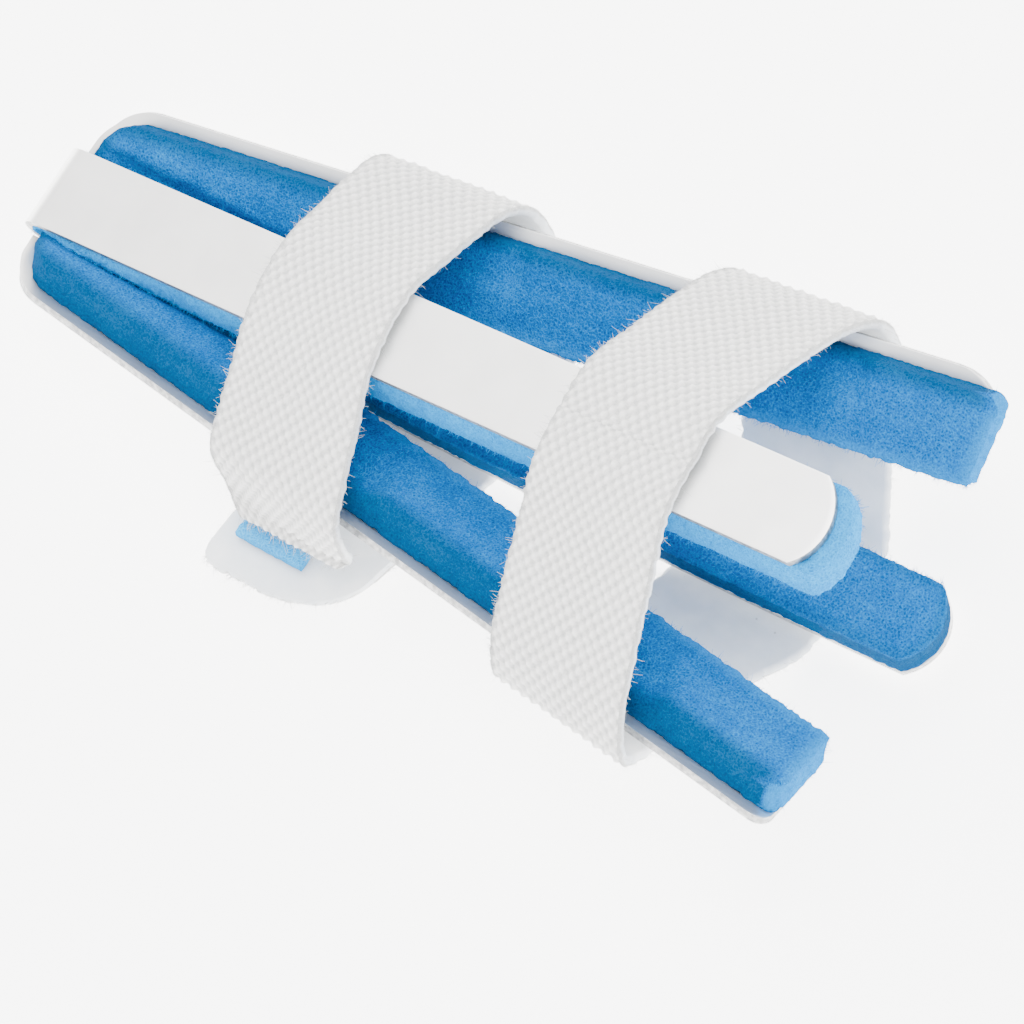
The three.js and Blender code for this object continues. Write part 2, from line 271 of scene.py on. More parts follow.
def tongue_point(way, s, height):
    """The tongue: an arc of TONGUE_FOLD round from its root, then straight at TONGUE_PITCH. Its
    first millimetres take over the plate's slight curl."""
    turned = np.clip(way / TONGUE_FOLD, 0, math.pi - TONGUE_PITCH)
    past = np.maximum(way - FOLD_WAY, 0)
    radius = TONGUE_FOLD - height
    x = TONGUE_ROOT - radius * np.sin(turned) - past * np.cos(turned)
    up = TONGUE_FOLD - radius * np.cos(turned) + past * np.sin(turned)
    curled = folded_base(TONGUE_ROOT, s, height) - folded_base(TONGUE_ROOT, s * 0, height)
    place = np.stack(np.broadcast_arrays(x, s, SHEET / 2 + up), -1)
    place[..., 2] += curled[..., 2] * (1 - smooth(way / 3))
    return place


def tongue_top(x):
    """Height of the tongue's outer face at x."""
    radius = TONGUE_FOLD + SHEET / 2
    start_x = TONGUE_ROOT - radius * math.sin(TONGUE_PITCH)
    start_z = SHEET / 2 + TONGUE_FOLD + radius * math.cos(TONGUE_PITCH)
    return start_z + (x - start_x) * math.tan(TONGUE_PITCH)


print("tongue's flat length:", round(FOLD_WAY + TONGUE_LENGTH, 1), "mm")

# %% [markdown]
# The pattern is cut into patches whose rows and columns meet: two wings, the strip with the middle
# of the plate, and the two narrow parts between them. A patch is a pair of arrays, the place x along
# the splint and s across the flat sheet. The sheet and the foam on it share these patches.

# %% Flat patches
TIP_ZONE = TIP_CORNER + 3
FAR = 9


def tip_edge(s, inset):
    """The plate's tip edge beside the tongue: a shallow bulge, then a rounded corner."""
    half = outline(0) - inset
    radius = TIP_CORNER - inset
    bulge = np.maximum(TIP_BULGE * (1 - (s / (half - radius / 2)) ** 2), 0)
    return inset - bulge + drop(radius, np.maximum(s - half + radius, 0))


def edge_dense(count):
    """Shares from 0 to 1 that lie closer together at both ends: half even steps, half a cosine."""
    even = np.linspace(0, 1, count + 1)
    return mix(even, 0.5 - 0.5 * np.cos(math.pi * even), 0.75)


def inside_line(x):
    """The wing's inner edge in the flat: the slit opens with a quarter of a circle at its root."""
    opened = np.clip((x - PLATE_LENGTH) / SLIT_ROOT, 0, 1)
    return mix(INNER_LINE, outline(x) - WING_WIDTH, np.sqrt(1 - (1 - opened) ** 2))


def shared_rows(inset, start_x, step):
    """Row shares in the tip zone, which row the tongue starts at, and the plate's other rows."""
    first = tip_edge(INNER_LINE, inset)
    root = (start_x - first) / (TIP_ZONE - first)
    before = np.linspace(0, root, max(2, round((start_x - first) / step)) + 1)
    after = np.linspace(root, 1, max(2, round((TIP_ZONE - start_x) / step)) + 1)[1:]
    plate = np.linspace(TIP_ZONE, PLATE_LENGTH, round((PLATE_LENGTH - TIP_ZONE) / step) + 1)[1:]
    return np.concatenate([before, after]), len(before) - 1, plate


def wing_patch(side, inset, reach, start_x, step, columns):
    """One wing from tip edge to end: x and s, each place's way to the outer border, and to the nearest
    cut edge. inset keeps it inside the border, reach takes it past the end."""
    length = UPPER_WING_LENGTH if side > 0 else LOWER_WING_LENGTH
    corner = UPPER_CORNER if side > 0 and inset == 0 else LOWER_CORNER
    share = edge_dense(columns)
    tip_shares, _, plate = shared_rows(inset, start_x, step)
    tip_x = tip_edge(mix(INNER_LINE, outline(0) - inset, share), inset)
    tip_rows = mix(tip_x, TIP_ZONE, tip_shares[:, None])
    end_zone = length - UPPER_CORNER - 2
    root = PLATE_LENGTH + SLIT_ROOT * (1 - np.cos(np.linspace(0, math.pi / 2, 9)[1:]))
    straight = np.linspace(root[-1], end_zone, round((end_zone - root[-1]) / step) + 1)[1:]
    level = np.concatenate([plate, root, straight])[:, None] * np.ones_like(share)
    end_s = mix(inside_line(length), outline(length) - inset, share)
    end_x = length + reach - drop(corner, np.maximum(end_s - outline(length) + inset + corner, 0))
    end_shares = np.linspace(0, 1, round(8 / step) + 1)[1:, None]
    x = np.concatenate([tip_rows, level, mix(end_zone, end_x, end_shares)])
    s = mix(inside_line(x), outline(x) - inset, share)
    slit = np.where(x > PLATE_LENGTH, s - inside_line(x), np.hypot(PLATE_LENGTH - x, s - INNER_LINE))
    notch = np.where(x < start_x, s - INNER_LINE, FAR)
    border = np.minimum(outline(x) - inset - s, x - tip_x)
    cut = np.minimum.reduce([end_x - x, slit, notch])
    patch = [x, s, np.maximum(border, 0), np.maximum(cut, 0)]
    if side < 0:
        patch = [part[:, ::-1] for part in patch]
        patch[1] = -patch[1]
    return patch


def middle_patches(inset, start_x, step, columns):
    """The plate's middle with the strip, and the two narrow parts beside it, as wing_patch gives them."""
    tip_shares, root_row, plate = shared_rows(inset, start_x, step)
    first = tip_edge(INNER_LINE, inset)
    shared = np.concatenate([mix(first, TIP_ZONE, tip_shares[root_row:]), plate])
    share = 2 * edge_dense(columns) - 1
    end_zone = STRIP_LENGTH - STRIP_END
    level = np.linspace(PLATE_LENGTH, end_zone, round((end_zone - PLATE_LENGTH) / step) + 1)[1:]
    end_x = STRIP_LENGTH - inset / 8 - drop(STRIP_END, share * STRIP_WIDTH / 2)
    end_shares = np.linspace(0, 1, round(STRIP_END / step) + 1)[1:, None]
    rows = np.concatenate([shared, level])[:, None] * np.ones_like(share)
    x = np.concatenate([rows, mix(end_zone, end_x, end_shares)])
    half = np.where(x > PLATE_LENGTH, STRIP_WIDTH, TONGUE_WIDTH) / 2
    s = share * half
    slit = np.where(x > PLATE_LENGTH, half - np.abs(s), np.hypot(PLATE_LENGTH - x, half - np.abs(s)))
    cut = np.minimum(slit, end_x - x)
    patches = [(x, s, x - shared[0], np.maximum(cut, 0))]
    for low, high in ((-INNER_LINE, -TONGUE_WIDTH / 2), (TONGUE_WIDTH / 2, INNER_LINE)):
        s = np.linspace(low, high, 3) * np.ones((len(shared), 1))
        x = shared[:, None] * np.ones_like(s)
        patches.append((x, s, x - shared[0], PLATE_LENGTH - x))
    return patches


def base_point(x, s, height, strip):
    """Bends a patch: the strip by its own rule, all else by the plate's."""
    return strip_point(x, s, height) if strip else folded_base(x, s, height)


# %% Aluminium sheet
SHEET_STEP = 0.8
TONGUE_END_SKEW = 0.1

wings = [wing_patch(side, 0, 0, TONGUE_ROOT, SHEET_STEP, 30) for side in (1, -1)]
middle = middle_patches(0, TONGUE_ROOT, SHEET_STEP, 18)
sheet_grids = [folded_base(x, s, 0) for x, s, *_ in wings + middle[1:]]
sheet_grids.append(strip_point(middle[0][0], middle[0][1], 0))

tongue_s = (2 * edge_dense(18) - 1) * TONGUE_WIDTH / 2
tongue_total = FOLD_WAY + TONGUE_LENGTH
level_ways = np.linspace(FOLD_WAY, tongue_total - TONGUE_END, 110)[1:, None] * np.ones_like(tongue_s)
fold_ways = np.linspace(0, FOLD_WAY, 37)[:, None] * np.ones_like(tongue_s)
end_way = tongue_total - drop(TONGUE_END, tongue_s) - TONGUE_END_SKEW * tongue_s
end_ways = mix(level_ways[-1], end_way, np.linspace(0, 1, 9)[1:, None])
tongue_ways = np.concatenate([fold_ways, level_ways, end_ways])[::-1]
sheet_grids.append(tongue_point(tongue_ways, tongue_s * np.ones_like(tongue_ways), 0))

points, faces, _ = weld(sheet_grids)
sheet = make_object("aluminium_sheet", points, faces.tolist())
thicken = sheet.modifiers.new("thickness", "SOLIDIFY")
thicken.thickness = SHEET * MM
thicken.offset = 0
thicken.use_even_offset = True
thicken.material_offset_rim = 1
round_edges = sheet.modifiers.new("rolled edge", "BEVEL")
round_edges.width = 0.24 * MM
round_edges.segments = 3
round_edges.limit_method = "ANGLE"
round_edges.angle_limit = math.radians(50)
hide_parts("frame")
print("sheet mesh before its thickness:", len(sheet.data.polygons), "faces")

# %% [markdown]
# The lining is open-cell foam glued to the sheet, 4 mm on the base and 4.5 mm under the tongue. It is
# cut a little inside the metal's border. Its top edges are rounded, it gives way under the tongue's
# root and under the straps, and its skin is broken by pores and small torn cells.

# %% Foam rules
FOAM = 4
FOAM_GLUE = 0.06
FOAM_BORDER = 1.4
FOAM_END_REACH = 0.3
FOAM_START = 1.0
BORDER_ROUND = 1.2
CUT_ROUND = 0.4
TONGUE_FOAM = 4.5
TONGUE_FOAM_REACH = 1.6
TONGUE_FOAM_FLARE = 0.9
TONGUE_PRESS = 0.6
PRESS_RISE = 0.8
STRAP_PRESS = 1.5
CLEARANCE = 0.3
FRONT_STRAP = {
    "x": 38.4, "width": 16.0, "under_shift": 6.6, "under_skew": 0.24, "lower_skew": 0.14,
    "upper_bulge": (2.7, 1.9), "lower_bulge": (3.2, 3.0),
}
REAR_STRAP = {
    "x": 77.2, "width": 15.6, "under_shift": 3.6, "under_skew": 0.17, "lower_skew": 0.04,
    "upper_bulge": (2.2, 1.6), "lower_bulge": (3.0, 2.8),
}
FOAM_LOW = SHEET / 2 + FOAM_GLUE
FOAM_HIGH = SHEET / 2 + CLEARANCE + FOAM


def foam_press(x, s):
    """How far the foam is pressed in: beside the tongue's root, and at the wings under the straps."""
    rise = 1 + PRESS_RISE * smooth((np.abs(s) - 3.2) / 3)
    root = TONGUE_PRESS * rise * smooth((10 - np.abs(s)) / 2) * smooth((PLATE_LENGTH - x) / 10)
    outer = smooth((np.abs(s) - outline(x) + 7) / 3)
    straps = (FRONT_STRAP, REAR_STRAP)
    under = [smooth((strap["width"] / 2 + 3 - np.abs(x - strap["x"] - 4.5)) / 3) for strap in straps]
    return np.maximum(root, STRAP_PRESS * outer * np.maximum(*under))


def foam_top(patch):
    """The lining's upper height: pressed in, and lowered near an edge along a quarter circle, wide at
    the outer border and small where the foam was cut."""
    x, s, border_way, cut_way = patch
    rounding = np.maximum(
        drop(BORDER_ROUND, np.maximum(BORDER_ROUND - border_way, 0)),
        drop(CUT_ROUND, np.maximum(CUT_ROUND - cut_way, 0)),
    )
    return FOAM_HIGH - foam_press(x, s) - rounding


def wall(low, high, levels, bow=0.0):
    """A wall from the points low up to the points high; bow swells it outwards in a half sine, and
    fades out at both ends so that walls meet."""
    share = np.linspace(0, 1, levels + 1)[None, :, None]
    grid = mix(low[:, None], high[:, None], share)
    if bow:
        along = np.gradient(low, axis=0)
        outward = unit(np.cross(along, high - low))
        ends = np.minimum(np.arange(len(low)), np.arange(len(low))[::-1])
        fade = smooth(ends / 10)[:, None, None]
        grid = grid + outward[:, None] * bow * fade * np.sin(math.pi * share)
    return grid


def roughen(points, faces, amount, seed):
    """Moves a foam skin along its normals by two sizes of lattice noise, pores pulled in."""
    normal = normals_of(points, faces)
    grain = noise(points, 0.42, seed) * 0.6 + noise(points, 0.9, seed + 1) * 0.4
    pores = np.maximum(noise(points, 0.55, seed + 2) - 0.35, 0)
    return points + normal * (amount * (grain - 1.4 * pores))[:, None]


# %% Foam on the base
FOAM_STEP = 0.36
# The walls' rim values: 1 paints the outer border walls darker, partly pinched foam and partly painted shade;
# -1 paints the cut walls lighter, painted light.
BORDER_WALL, CUT_WALL = 1.0, -1.0
SIDES = ("first", "last", "left", "right")
FOAM_ROUGH = 0.16
CUT_CRUMBLE = 0.16


def border(grid, kind, rows=slice(None)):
    """One edge of a grid, or some of its rows, as a line of points going round it anticlockwise."""
    edges = {"first": grid[0][::-1], "last": grid[-1], "left": grid[rows, 0], "right": grid[rows, -1][::-1]}
    return edges[kind]


def foam_skin(patch, strip, walls):
    """Both faces of the foam over one patch, and walls down its free edges. walls holds for each the
    edge, its rows and its value of the attribute rim."""
    x, s, border_way, cut_way = patch
    low = base_point(x, s, FOAM_LOW, strip)
    high = base_point(x, s, foam_top(patch), strip)
    near_cut = 1 - smooth(cut_way / 2)
    # rim paints shade and light into the foam's colour: it nears 1 at the outer border and tip edge, partly
    # pinched foam and partly painted shade; near a cut edge it rises on the strip, painted shade under the
    # tongue, and falls on the wings, painted light on the cut faces.
    rim = (1 - smooth(border_way / 2.4)) + near_cut * (0.45 if strip else -0.8)
    grids = [high, low[:, ::-1]]
    values = [rim, rim[:, ::-1]]
    for kind, rows, value in walls:
        grids.append(wall(border(low, kind, rows), border(high, kind, rows), 9))
        values.append(np.full(grids[-1].shape[:2], value))
        if value == CUT_WALL and len(grids[-1]) > 8:
            torn_walls.append(grids[-1])
    return grids, values


every = slice(None)
tip_shares, root_row, plate_rows = shared_rows(FOAM_BORDER, FOAM_START, FOAM_STEP)
notch_rows = slice(0, root_row + 1)
slit_rows = slice(len(tip_shares) + len(plate_rows) - 1, None)
strip_rows = slice(slit_rows.start - root_row, None)
foam_grids, foam_values, torn_walls = [], [], []
for side in (1, -1):
    patch = wing_patch(side, FOAM_BORDER, FOAM_END_REACH, FOAM_START, FOAM_STEP, 34)
    outer, inner = ("right", "left") if side > 0 else ("left", "right")
    walls = [("first", every, BORDER_WALL), (outer, every, BORDER_WALL), ("last", every, CUT_WALL)]
    walls += [(inner, rows, CUT_WALL) for rows in (notch_rows, slit_rows)]
    grids, values = foam_skin(patch, False, walls)
    foam_grids += grids
    foam_values += values
middle = middle_patches(FOAM_BORDER, FOAM_START, FOAM_STEP, 32)
for k, patch in enumerate(middle):
    walls = [("first", every, BORDER_WALL)]
    if k == 0:
        walls += [("last", every, BORDER_WALL), ("left", strip_rows, BORDER_WALL)]
        walls += [("right", strip_rows, CUT_WALL)]
    else:
        walls += [("last", every, CUT_WALL)]
    grids, values = foam_skin(patch, k == 0, walls)
    foam_grids += grids
    foam_values += values

points, faces, rim = weld(foam_grids, foam_values)
points = roughen(points, faces, FOAM_ROUGH + CUT_CRUMBLE * np.clip(-rim, 0, 1), 11)
foam_base = make_object("foam_lining_base", points, faces.tolist(), [("rim", rim)])
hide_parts("foam_base")
print("base foam:", len(points), "points")

# %% Foam under the tongue
TONGUE_FOAM_STEP = 0.3


def tongue_foam_room(face_x, face_z):
    """How thick the tongue's foam is: full, or what is left above the base's foam near the fold."""
    base_top = SHEET + CLEARANCE + FOAM - foam_press(face_x, 0 * face_x + 1)
    return np.minimum(TONGUE_FOAM, (face_z - base_top - FOAM_GLUE) * math.cos(TONGUE_PITCH))


half_width = TONGUE_WIDTH / 2 - 0.1
total = FOLD_WAY + TONGUE_LENGTH + TONGUE_FOAM_REACH
start = FOLD_WAY * 0.3
share = 2 * edge_dense(34) - 1
end_way = total - drop(STRIP_END + 0.45, share * half_width) - TONGUE_END_SKEW * share * half_width
level = np.linspace(start, total - 7, round((total - 7 - start) / TONGUE_FOAM_STEP))[:, None]
ways = np.concatenate([level * np.ones_like(share), mix(total - 7, end_way, np.linspace(0, 1, 22)[1:, None])])
ways = ways[::-1]
s = share * half_width * np.ones_like(ways)
face = tongue_point(ways, s, SHEET / 2 + CLEARANCE)
in_fold = 1 - smooth((ways - FOLD_WAY * 0.55) / (FOLD_WAY * 0.45))
thick = np.maximum(tongue_foam_room(face[..., 0], face[..., 2]), mix(0.3, 1.1, in_fold))
free = np.minimum.reduce([half_width - np.abs(s), ways[0] - ways, np.full_like(ways, 9)])
splay = TONGUE_FOAM_FLARE * smooth((ways - FOLD_WAY) / 4)
near_round = np.minimum(thick * 0.5, BORDER_ROUND)
away = SHEET / 2 + CLEARANCE + thick - near_round + np.sqrt(
    np.maximum(near_round**2 - np.maximum(near_round - free, 0) ** 2, 0)
)
near = tongue_point(ways, s, FOAM_LOW)
far = tongue_point(ways, s - splay * (0.5 - s / half_width / 2), away)
tongue_grids = [far, near[:, ::-1]]
for kind in SIDES:
    tongue_grids.append(wall(border(near, kind), border(far, kind), 14, bow=0.28))
torn_walls += [tongue_grids[k] for k in (2, 4, 5)]
rims = [np.zeros(g.shape[:2]) for g in tongue_grids]
points, faces, rim = weld(tongue_grids, rims)
points = roughen(points, faces, 0.2, 23)
foam_tongue = make_object("foam_lining_tongue", points, faces.tolist(), [("rim", rim)])
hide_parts("foam_tongue")
print("tongue foam:", len(points), "points")

# %% [markdown]
# Each strap is loop tape, 1.4 mm thick. Its way round is a smooth curve through points that are tied
# to what it lies on: over the tongue, down to a wing's edge, round it and flat under the strip. The
# curve is worked out for many lines across the tape at once, and the tape's section is carried
# along them. The loops stand in staggered rows of small domes.

# %% A strap's way round
STRAP = 1.4
STRAP_LEAN = 0.32
STRAP_SKEW = 0.04
STRAP_CROWN = 0.3
CUT_END_NARROWING = 2.4
TAB_REACH = 27.5
TAB_CORNER = {"narrow": 1.6, "deep": 7, "wide": 9}


def strap_x(strap, top_x, y, z):
    """A strap leans towards the open end as it goes down, and most of all below the wings."""
    depth = tongue_top(top_x) - z
    low = np.clip(depth / tongue_top(top_x), 0, 1) ** 4
    skew = np.where(y > 0, STRAP_SKEW, strap["lower_skew"]) * (1 - low)
    return top_x + STRAP_LEAN * depth + strap["under_shift"] * low + (strap["under_skew"] * low - skew) * y


def side_keys(strap, across, side, top, bottom):
    """Points on one side, from the tongue's edge round the wing's edge to the strip's under face."""
    angle = UPPER_FOLD if side > 0 else LOWER_FOLD
    top_x = strap["x"] + across * strap["width"] / 2
    edge_x = strap_x(strap, top_x, side * 20, tongue_top(top_x) / 2)
    edge = folded_base(edge_x, side * outline(edge_x), 0)
    y, z = np.abs(edge[..., 1]), edge[..., 2]
    bulge = mix(*strap["upper_bulge" if side > 0 else "lower_bulge"], (across + 1) / 2)
    out = [mix(5.4, y + bulge, share) for share in (0.3, 0.62, 0.88)]
    down = [mix(top - 0.5, z + 1.2, share) for share in (0.26, 0.58, 0.86)]
    under = [mix(6, y, share) for share in (0.62, 0.3)]
    rise = [np.maximum((v - BEND_LINE) * math.tan(angle) - lag, bottom) for v, lag in zip(under, (2.4, 2.2))]
    flat = (7.6 if side > 0 else 5.4) + 0 * y
    keys = [
        (5.5 + 0 * y, top - 0.08),
        (out[0], down[0] + 0.3),
        (out[1], down[1] + 0.5),
        (out[2], down[2] + 0.35),
        (y + bulge, z - (0 if side > 0 else 0.8)),
        (y + bulge * 0.35, z - 3.1),
        (under[0], rise[0]),
        (under[1], rise[1]),
        (flat, bottom + 0 * y),
    ]
    return [(side * key_y, key_z + 0 * y, 0) for key_y, key_z in keys]


def strap_keys(strap, across, closed):
    """The points that a strap's middle passes through, for each line across it: a place y and z, and
    a way back towards the tip end."""
    top_x = strap["x"] + across * strap["width"] / 2
    top = tongue_top(top_x) + CLEARANCE + STRAP / 2
    bottom = -CLEARANCE - STRAP / 2
    upper, lower = (side_keys(strap, across, side, top, bottom) for side in (1, -1))
    crown = (0, top + STRAP_CROWN, 0)
    floor = (0, bottom, 0)
    if closed:
        keys = [crown, *upper, floor, *lower[::-1]]
    else:
        edge_y, edge_z, _ = lower[4]
        cut_end = [
            (-21.9, 4.7, CUT_END_NARROWING * across),
            (-20.9, 5.4, CUT_END_NARROWING * across * 0.6),
            (np.maximum(edge_y, -21.2), edge_z - 1.2, CUT_END_NARROWING * across * 0.25),
        ]
        tab = [(-5.2, 0), (-10, 0.3), (-15, 1), (-20.5, 2), (-TAB_REACH, 2.9)]
        tab = [(y, bottom + rise, 0) for y, rise in tab]
        keys = [*cut_end, *lower[:4][::-1], crown, *upper, floor, *tab]
    placed = []
    for y, z, back in keys:
        x = strap_x(strap, top_x, y, z) - back
        placed.append(np.stack(np.broadcast_arrays(x, y + 0 * top, z + 0 * top), -1))
    return np.stack(placed)


def tab_trim(strap, across):
    """How much the tab's rounded corners take off its length: a small circle at the tip-end side, and
    a wide ellipse at the open-end side."""
    half = strap["width"] / 2
    near_tip = np.maximum(TAB_CORNER["narrow"] - half - across * half, 0)
    near_open = np.maximum(across * half - half + TAB_CORNER["wide"], 0) / TAB_CORNER["wide"]
    return drop(TAB_CORNER["narrow"], near_tip) + TAB_CORNER["deep"] * drop(1, near_open)


def through(keys, closed, count):
    """A smooth curve through keys, count points a span: each span is a cubic whose end slopes weigh
    the neighbouring spans by the root of their lengths, so that it never loops."""
    if closed:
        ring = np.concatenate([keys[-1:], keys, keys[:2]])
    else:
        ring = np.concatenate([2 * keys[:1] - keys[1:2], keys, 2 * keys[-1:] - keys[-2:-1]])
    p0, p1, p2, p3 = ring[:-3], ring[1:-2], ring[2:-1], ring[3:]
    gaps = [np.sqrt(np.maximum(np.linalg.norm(b - a, axis=-1, keepdims=True), 1e-6)) for a, b in
            ((p0, p1), (p1, p2), (p2, p3))]
    slope1 = ((p1 - p0) / gaps[0] - (p2 - p0) / (gaps[0] + gaps[1]) + (p2 - p1) / gaps[1]) * gaps[1]
    slope2 = ((p2 - p1) / gaps[1] - (p3 - p1) / (gaps[1] + gaps[2]) + (p3 - p2) / gaps[2]) * gaps[1]
    t = np.linspace(0, 1, count, endpoint=False)[:, None, None, None]
    square = -3 * p1 + 3 * p2 - 2 * slope1 - slope2
    cube = 2 * p1 - 2 * p2 + slope1 + slope2
    line = p1 + slope1 * t + square * t**2 + cube * t**3
    line = line.swapaxes(0, 1).reshape(-1, *keys.shape[1:])
    return line if closed else np.concatenate([line, keys[-1:]])


def even_rows(line, step, closed, trims):
    """Spaces a bundle of curves evenly by the length of its middle one. trims are taken off the end of
    each curve, and spread smoothly over its last fifth."""
    centre = line[:, line.shape[1] // 2]
    if closed:
        centre = np.concatenate([centre, centre[:1]])
        line = np.concatenate([line, line[:1]])
    way = np.concatenate([[0], np.cumsum(np.linalg.norm(np.diff(centre, axis=0), axis=1))])
    wanted = np.linspace(0, way[-1], round(way[-1] / step) + 1)
    last_fifth = smooth((wanted / way[-1] - 0.82) / 0.18)
    lines = []
    for j, trim in enumerate(trims):
        place = wanted - trim * last_fifth
        lines.append(np.stack([np.interp(place, way, line[:, j, k]) for k in range(3)], -1))
    rows = np.stack(lines, 1)
    return (rows[:-1], wanted[:-1]) if closed else (rows, wanted)


# %% Straps
STRAP_STEP = 0.215
STRAP_COLUMNS = 74
LOOP_ACROSS = 1.3
LOOP_ROWS = 0.82
LOOP_HEIGHT = 0.42
EDGE_STEPS = 5


def loop_domes(way, across):
    """Height from 0 to 1 of the loops: the product of a wave along and a wave across, so that every
    second row stands half a pitch aside."""
    along = math.pi * way / LOOP_ROWS
    aside = 2 * math.pi * across / LOOP_ACROSS
    return (0.5 + 0.5 * np.cos(along) * np.cos(aside)) ** 1.5


def round_section(values):
    """Gives each column's value to the points round the tape's section: outer face, edge, inner face
    and the other edge."""
    last = values.shape[-2] - 1
    faces = np.arange(last + 1)
    order = np.concatenate([faces, np.full(EDGE_STEPS, last), faces[::-1], np.zeros(EDGE_STEPS, int)])
    return values[..., order, :]


def strap_piece(name, strap, closed, seed):
    """The tape's closed section, outer face with loops, two rounded edges and smooth inner face,
    carried along the strap's lines."""
    across_shares = np.linspace(-1, 1, STRAP_COLUMNS + 1)
    offsets = across_shares * strap["width"] / 2
    line = through(strap_keys(strap, across_shares, closed), closed, 24)
    line, way = even_rows(line, STRAP_STEP, closed, tab_trim(strap, across_shares) * (not closed))
    along = np.gradient(line, axis=0)
    if closed:
        along = (np.roll(line, -1, 0) - np.roll(line, 1, 0)) / 2
    across = np.gradient(line, axis=1)
    outward = unit(-np.cross(along, across))
    aside = unit(across)
    way_grid = way[:, None] * np.ones(len(offsets))
    domes = loop_domes(way_grid, offsets * np.ones((len(way), 1)))
    flat = line.reshape(-1, 3)
    uneven = (noise(flat, 0.6, seed) * 0.5 + noise(flat, 2.5, seed + 3) * 0.5).reshape(domes.shape)
    border = smooth((strap["width"] / 2 - np.abs(offsets)) / 0.5)
    lift = STRAP / 2 - LOOP_HEIGHT + LOOP_HEIGHT * domes * border * (1 + 0.4 * uneven) + 0.05 * uneven
    outer = line + outward * lift[..., None]
    inner = line - outward * (STRAP / 2 - 0.03 + 0.03 * uneven[..., None])
    angles = np.linspace(0, math.pi, EDGE_STEPS + 2)[1:-1]

    def edge(column, sign):
        """A half-round edge from the outer face to the inner one, with the weave's small teeth."""
        tooth = 0.18 * np.abs(np.sin(math.pi * way / LOOP_ROWS / 2))
        tooth = tooth + 0.16 * noise(line[:, column], 0.5, seed + 5)
        turns = angles[None, :, None]
        out = outward[:, column][:, None]
        side_way = aside[:, column][:, None] * sign
        bulge = (STRAP / 2 * 0.5 + tooth)[:, None, None]
        round_way = out * np.cos(turns) * (STRAP / 2 - 0.1) + side_way * np.sin(turns) * bulge
        return line[:, column][:, None] + round_way

    section = np.concatenate([outer, edge(-1, 1), inner[:, ::-1], edge(0, -1)[:, ::-1]], 1)
    count = section.shape[1]
    columns = len(offsets)
    middle_line = round_section(line)
    is_inner = np.zeros(count)
    is_inner[columns + EDGE_STEPS // 2 : 2 * columns + EDGE_STEPS + EDGE_STEPS // 2 + 1] = 1
    loops = np.zeros((len(way), count))
    loops[:, :columns] = domes
    if not closed:
        for end, beside, own_seed in ((0, 1, seed + 7), (-1, -2, seed + 8)):
            ragged = 0.3 + 0.25 * noise(line[end], 0.5, own_seed)
            onward = round_section(unit(line[end] - line[beside]) * ragged[:, None])
            near = (mix(middle_line[end], section[end], 0.7) + onward * 0.7)[None]
            tip = (middle_line[end] + onward)[None]
            section = np.concatenate([tip, near, section] if end == 0 else [section, near, tip])
        loops = np.concatenate([loops[:1], loops[:1], loops, loops[-1:], loops[-1:]])
    total_rows = len(section)
    i, j = np.meshgrid(np.arange(total_rows if closed else total_rows - 1), np.arange(count), indexing="ij")
    below = (i + 1) % total_rows
    aside_j = (j + 1) % count
    faces = np.stack([i * count + j, i * count + aside_j, below * count + aside_j, below * count + j], -1)
    layers = [("inner_side", is_inner * np.ones((total_rows, 1))), ("loops", loops)]
    join_within = 0 if closed else 0.004
    piece = make_object(name, section, faces.reshape(-1, 4).tolist(), layers, join_within=join_within)
    print(name, "is", round(float(way[-1])), "mm long and has", len(piece.data.polygons), "faces")
    return piece, line, outward, aside


front, *front_lines = strap_piece("strap_front_tape", FRONT_STRAP, False, 31)
rear, *rear_lines = strap_piece("strap_rear_tape", REAR_STRAP, True, 47)
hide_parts("strap_front")
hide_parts("strap_rear")

# %% [markdown]
# Cut and worn tape frays: fine curly fibres stand off its edges and its cut ends, and torn cell walls
# stand off the foam's cut faces. Each is a thin three-sided tube of three lengths, a dozen faces or
# so. The fibres of one strap are one mesh, and so are the foam's.

# %% Edge fibres
FIBRE_SIDES = 3
FIBRE_RINGS = 4
TAPE_FIBRE = 0.85
FOAM_FIBRE = 0.55


def fibre_piece(name, roots, ways, longest, seed):
    """Thin tubes from roots along ways: each bends by a random curl that grows as the square of its
    length, and tapers to its tip. None goes below what the splint lies on."""
    chance = np.random.default_rng(seed)
    count = len(roots)
    length = longest * chance.uniform(0.3, 1, count)[:, None, None]
    curl = chance.normal(0, 0.5, (count, 1, 3))
    aim = unit(ways + chance.normal(0, 0.5, ways.shape))[:, None]
    share = np.linspace(0, 1, FIBRE_RINGS)[None, :, None]
    spine = roots[:, None] + length * (aim * share + curl * share**2)
    spine[..., 2] = np.maximum(spine[..., 2], 0.05 - TO_PART[2])
    first = unit(np.cross(aim, [0.31, 0.52, 0.79]))
    second = np.cross(aim, first)
    radius = mix(0.03, 0.012, share)[..., None]
    angle = (2 * math.pi * np.arange(FIBRE_SIDES) / FIBRE_SIDES)[None, None, :, None]
    round_way = first[:, :, None] * np.cos(angle) + second[:, :, None] * np.sin(angle)
    rings = spine[:, :, None] + radius * round_way
    ring, side = np.meshgrid(np.arange(FIBRE_RINGS - 1), np.arange(FIBRE_SIDES), indexing="ij")
    beside = (side + 1) % FIBRE_SIDES
    cell = np.stack([ring * FIBRE_SIDES + side, ring * FIBRE_SIDES + beside,
                     (ring + 1) * FIBRE_SIDES + beside, (ring + 1) * FIBRE_SIDES + side], -1).reshape(-1, 4)
    size = FIBRE_RINGS * FIBRE_SIDES
    starts = np.arange(count)[:, None, None] * size
    faces = (cell[None] + starts).reshape(-1, 4).tolist()
    caps = np.array([[0, 2, 1], [size - 3, size - 2, size - 1]])
    faces += (caps[None] + starts).reshape(-1, 3).tolist()
    piece = make_object(name, rings, faces, smooth_shaded=False)
    print(name, count, "fibres")
    return piece


